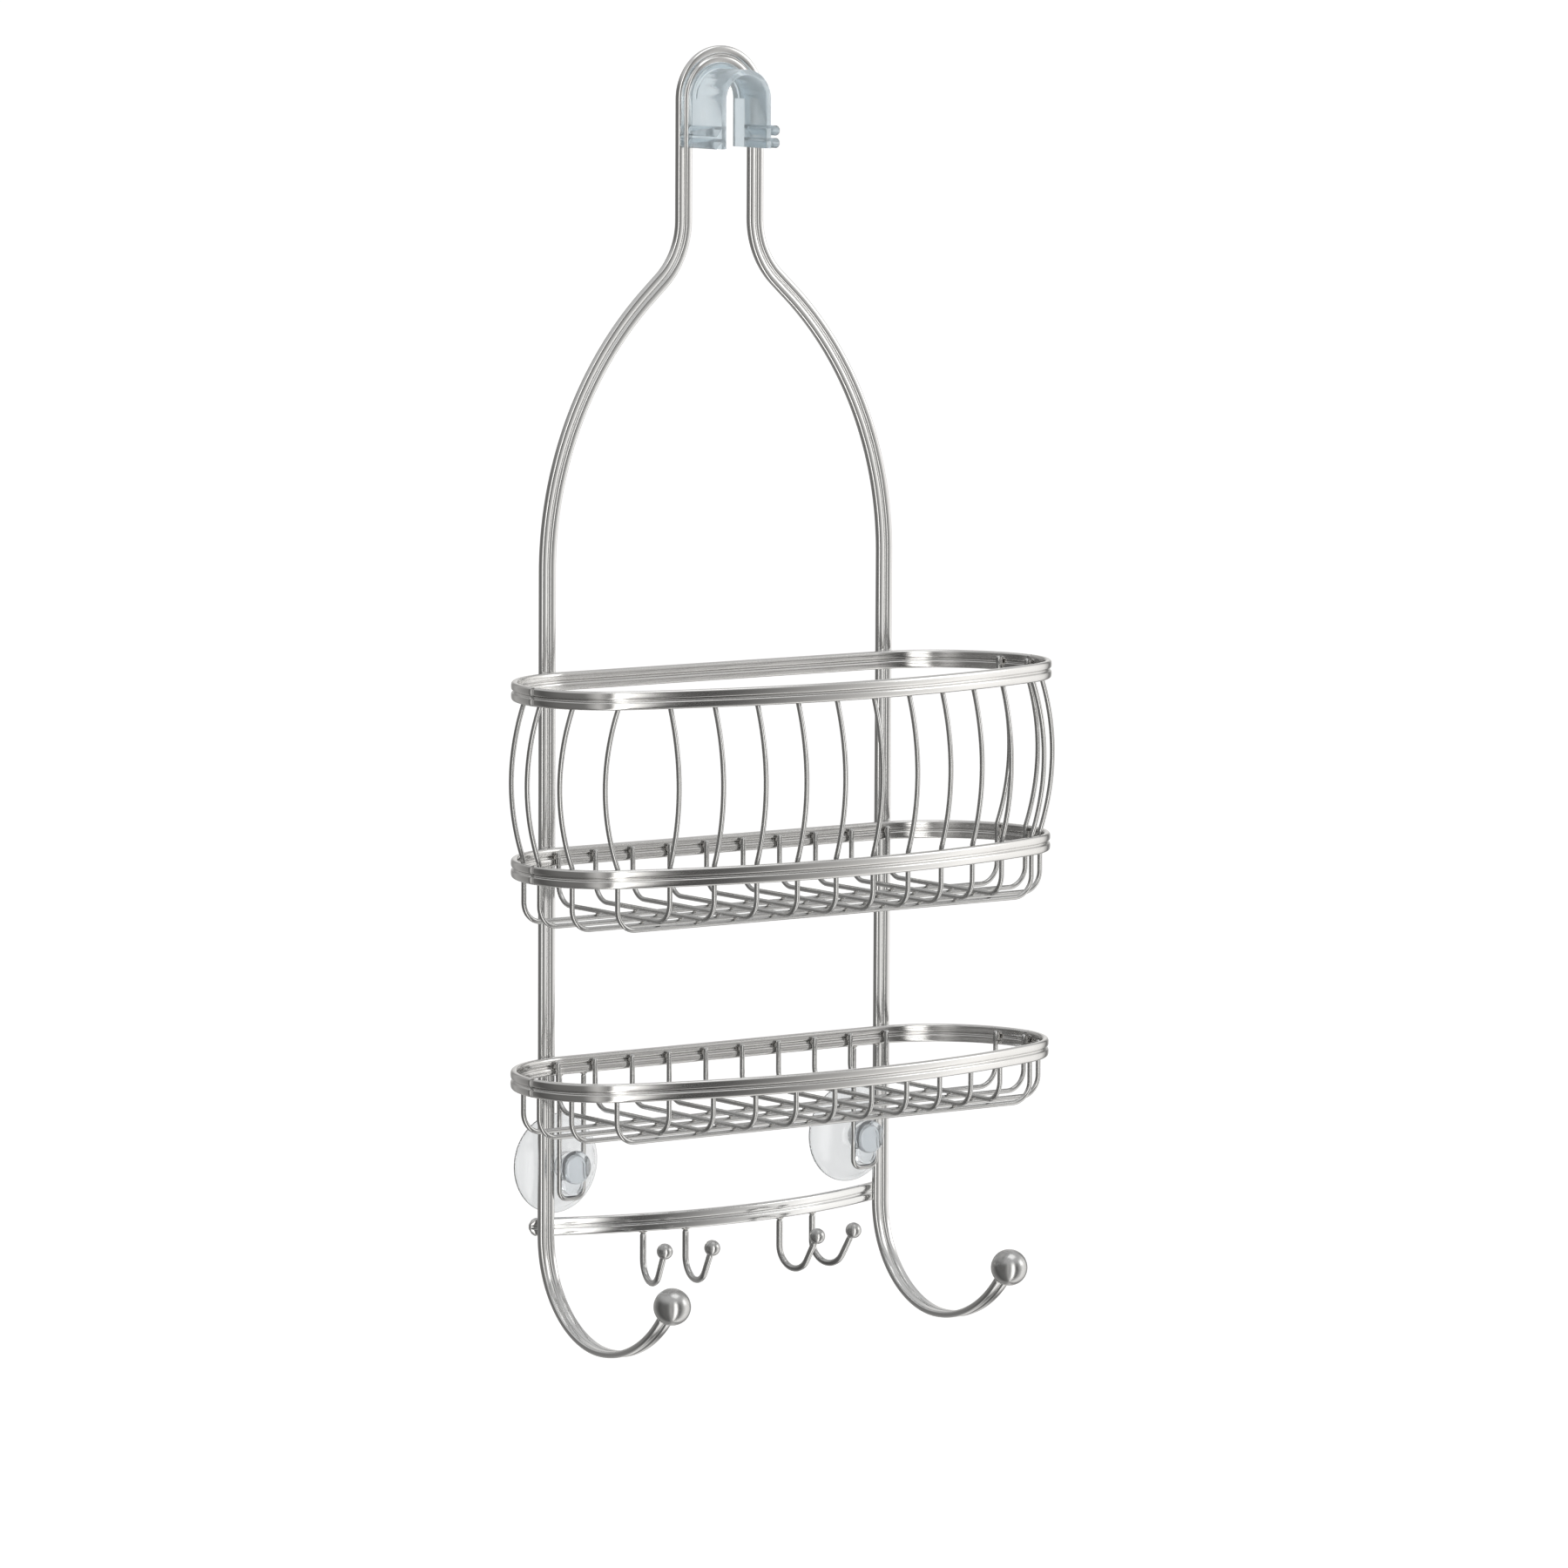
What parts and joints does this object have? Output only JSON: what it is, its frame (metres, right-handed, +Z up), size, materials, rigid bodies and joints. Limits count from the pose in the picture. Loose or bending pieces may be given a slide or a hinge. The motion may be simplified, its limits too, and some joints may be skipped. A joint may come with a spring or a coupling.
{
  "type": "shower caddy",
  "caption": "Hanging shower caddy: a reeded steel frame with a deep wire basket, a shallow wire shelf, a bowed hook rail and sliding suction cups.",
  "frame": {"origin": "seat on the shower arm: the underside of the saddle's crown, in the middle of the frame's thickness", "axes": "+Z up, +X to the user's right when facing the caddy, +Y towards the wall; the baskets stand out along -Y"},
  "size_m": [0.2744, 0.1179, 0.5589],
  "materials": {
    "bar_steel": "satin brushed along the bar, with a groove between two ribs",
    "rim_steel": "satin brushed along the band",
    "wire_steel": "satin",
    "hook_steel": "satin",
    "ball_steel": "polished satin",
    "cup_vinyl": "clear soft vinyl",
    "saddle_plastic": "pale blue translucent, smooth"
  },
  "bodies": {
    "frame_and_baskets": {"hanger_frame": "bar_steel", "left_towel_ball": "ball_steel", "right_towel_ball": "ball_steel", "basket_top_rim": "rim_steel", "basket_lower_rim": "rim_steel", "basket_cross_wire_1": "wire_steel", "basket_cross_wire_2": "wire_steel", "basket_cross_wire_3": "wire_steel", "basket_cross_wire_4": "wire_steel", "basket_cross_wire_5": "wire_steel", "basket_cross_wire_6": "wire_steel", "basket_cross_wire_7": "wire_steel", "basket_cross_wire_8": "wire_steel", "basket_cross_wire_9": "wire_steel", "basket_cross_wire_10": "wire_steel", "basket_length_wire_1": "wire_steel", "basket_length_wire_2": "wire_steel", "basket_length_wire_3": "wire_steel", "basket_length_wire_4": "wire_steel", "shelf_rim": "rim_steel", "shelf_cross_wire_1": "wire_steel", "shelf_cross_wire_2": "wire_steel", "shelf_cross_wire_3": "wire_steel", "shelf_cross_wire_4": "wire_steel", "shelf_cross_wire_5": "wire_steel", "shelf_cross_wire_6": "wire_steel", "shelf_cross_wire_7": "wire_steel", "shelf_cross_wire_8": "wire_steel", "shelf_cross_wire_9": "wire_steel", "shelf_cross_wire_10": "wire_steel", "shelf_length_wire_1": "wire_steel", "shelf_length_wire_2": "wire_steel", "shelf_length_wire_3": "wire_steel", "shelf_length_wire_4": "wire_steel", "hook_rail": "bar_steel", "small_hook_1": "hook_steel", "small_hook_ball_1": "ball_steel", "small_hook_2": "hook_steel", "small_hook_ball_2": "ball_steel", "small_hook_3": "hook_steel", "small_hook_ball_3": "ball_steel", "small_hook_4": "hook_steel", "small_hook_ball_4": "ball_steel", "left_cup_loop": "wire_steel", "right_cup_loop": "wire_steel", "arm_saddle": "saddle_plastic"},
    "left_cup": {"left_suction_cup": "cup_vinyl"},
    "right_cup": {"right_suction_cup": "cup_vinyl"}
  },
  "joints": [
    {"name": "left_cup_slide", "type": "slide", "parent": "frame_and_baskets", "child": "left_cup", "axis": [0, 0, 1], "range_m": [0, 0.014]},
    {"name": "right_cup_slide", "type": "slide", "parent": "frame_and_baskets", "child": "right_cup", "axis": [0, 0, 1], "range_m": [0, 0.014]}
  ]
}
